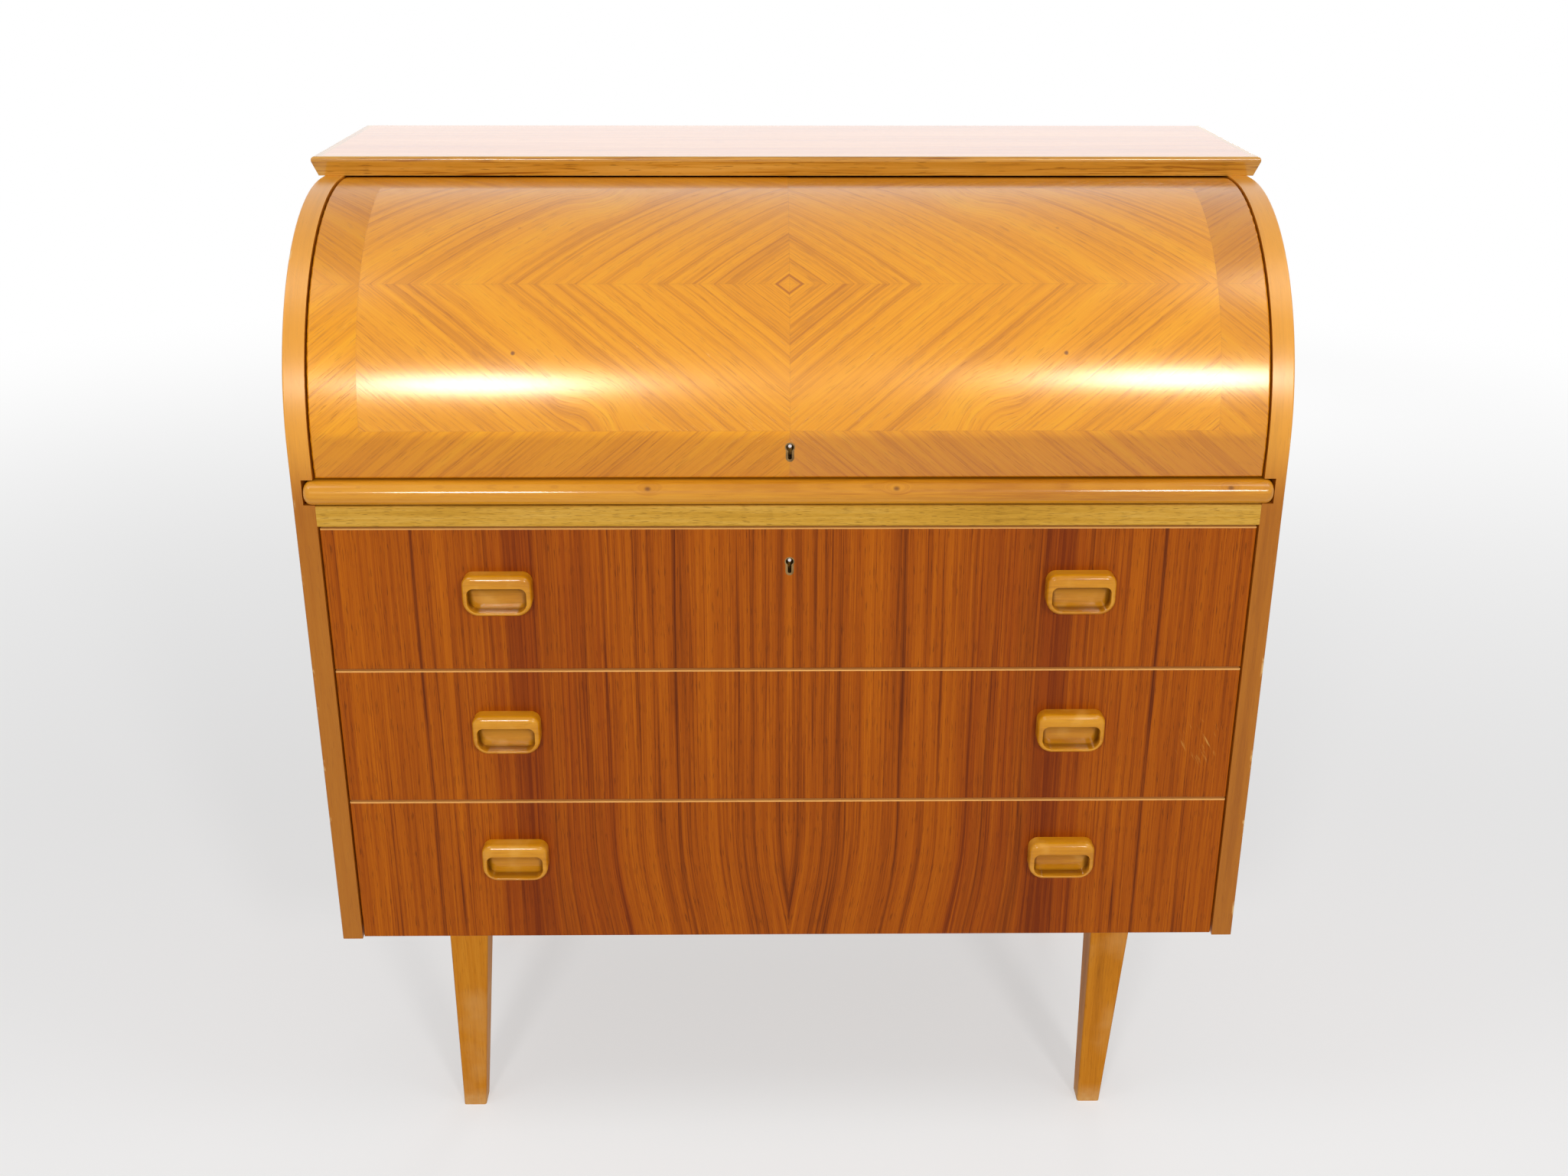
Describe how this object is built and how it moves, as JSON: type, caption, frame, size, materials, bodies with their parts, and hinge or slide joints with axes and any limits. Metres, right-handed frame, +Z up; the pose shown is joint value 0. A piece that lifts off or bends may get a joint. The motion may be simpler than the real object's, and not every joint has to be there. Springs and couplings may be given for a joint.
{
  "type": "roll top secretary desk",
  "caption": "Cylinder-front secretary desk on tapered legs, with a rigid curved roll over pigeonholes, a pull-out writing slide and full-width drawers with recessed wooden pulls.",
  "frame": {"origin": "floor, under the middle of the desk's bounding box", "axes": "+X to the right, -Y out of the front, +Z up"},
  "size_m": [0.92, 0.4766, 0.992],
  "materials": {
    "roll_veneer": "clear lacquer over diamond-matched golden teak veneer",
    "drawer_veneer": "satin lacquer over red-brown teak veneer, grain upright",
    "case_veneer": "satin lacquer over teak veneer",
    "top_veneer": "glossy lacquer over teak veneer",
    "pale_lipping": "satin pale lipping",
    "bar_wood": "glossy solid wood",
    "handle_wood": "glossy solid wood",
    "leg_wood": "satin solid wood",
    "inner_wood": "plain planed wood",
    "board_sheet": "bare plywood and hardboard",
    "steel": "zinc plated",
    "brass": "plain brass",
    "keyhole_metal": "dark bronze"
  },
  "bodies": {
    "case": {"side_panel_left": "case_veneer", "side_panel_right": "case_veneer", "top_board": "top_veneer", "bottom_panel": "board_sheet", "back_panel": "board_sheet", "desk_bed": "inner_wood", "bed_lipping": "pale_lipping", "drawer_runners": "inner_wood", "slide_guides": "inner_wood", "pigeonhole_base": "case_veneer", "pigeonhole_top": "case_veneer", "pigeonhole_back": "case_veneer", "pigeonhole_ends": "case_veneer", "pigeonhole_dividers": "case_veneer", "pigeonhole_shelves": "case_veneer", "roll_pivot_pins": "steel", "leg_front_left": "leg_wood", "leg_front_right": "leg_wood", "leg_rear_left": "leg_wood", "leg_rear_right": "leg_wood", "leg_plates": "steel", "leg_bolts": "steel", "drawer_lock_strike": "brass"},
    "writing_slide": {"writing_board": "case_veneer", "writing_bar": "bar_wood", "roll_lock_strike": "brass"},
    "roll": {"roll_panel": "roll_veneer", "roll_arm_left": "inner_wood", "roll_arm_right": "inner_wood", "roll_lock_case": "brass", "roll_keyhole": "keyhole_metal"},
    "roll_bolt": {"roll_lock_bolt": "brass"},
    "top_drawer": {"top_drawer_front": "drawer_veneer", "top_drawer_side_left": "inner_wood", "top_drawer_side_right": "inner_wood", "top_drawer_back": "inner_wood", "top_drawer_bottom": "board_sheet", "top_drawer_handles": "handle_wood", "drawer_lock_case": "brass", "drawer_keyhole": "keyhole_metal"},
    "middle_drawer": {"middle_drawer_front": "drawer_veneer", "middle_drawer_side_left": "inner_wood", "middle_drawer_side_right": "inner_wood", "middle_drawer_back": "inner_wood", "middle_drawer_bottom": "board_sheet", "middle_drawer_handles": "handle_wood"},
    "bottom_drawer": {"bottom_drawer_front": "drawer_veneer", "bottom_drawer_side_left": "inner_wood", "bottom_drawer_side_right": "inner_wood", "bottom_drawer_back": "inner_wood", "bottom_drawer_bottom": "board_sheet", "bottom_drawer_handles": "handle_wood"},
    "drawer_bolt": {"drawer_lock_bolt": "brass"},
    "small_drawer_left": {"small_drawer_left_front": "case_veneer", "small_drawer_left_box": "inner_wood", "small_drawer_left_knob": "handle_wood"},
    "small_drawer_right": {"small_drawer_right_front": "case_veneer", "small_drawer_right_box": "inner_wood", "small_drawer_right_knob": "handle_wood"}
  },
  "joints": [
    {"name": "roll_turn", "type": "hinge", "parent": "case", "child": "roll", "pos_m": [0, -0.01475, 0.764], "axis": [-1, 0, 0], "range_deg": [0, 96]},
    {"name": "writing_slide_pull", "type": "slide", "parent": "case", "child": "writing_slide", "axis": [0, -1, 0], "range_m": [0, 0.25]},
    {"name": "top_drawer_pull", "type": "slide", "parent": "case", "child": "top_drawer", "axis": [0, -1, 0], "range_m": [0, 0.31]},
    {"name": "middle_drawer_pull", "type": "slide", "parent": "case", "child": "middle_drawer", "axis": [0, -1, 0], "range_m": [0, 0.31]},
    {"name": "bottom_drawer_pull", "type": "slide", "parent": "case", "child": "bottom_drawer", "axis": [0, -1, 0], "range_m": [0, 0.31]},
    {"name": "small_drawer_left_pull", "type": "slide", "parent": "case", "child": "small_drawer_left", "axis": [0, -1, 0], "range_m": [0, 0.1]},
    {"name": "small_drawer_right_pull", "type": "slide", "parent": "case", "child": "small_drawer_right", "axis": [0, -1, 0], "range_m": [0, 0.1]},
    {"name": "roll_bolt_throw", "type": "slide", "parent": "roll", "child": "roll_bolt", "axis": [0, 0, -1], "range_m": [0, 0.008]},
    {"name": "drawer_bolt_throw", "type": "slide", "parent": "top_drawer", "child": "drawer_bolt", "axis": [0, 0, 1], "range_m": [0, 0.008]}
  ]
}
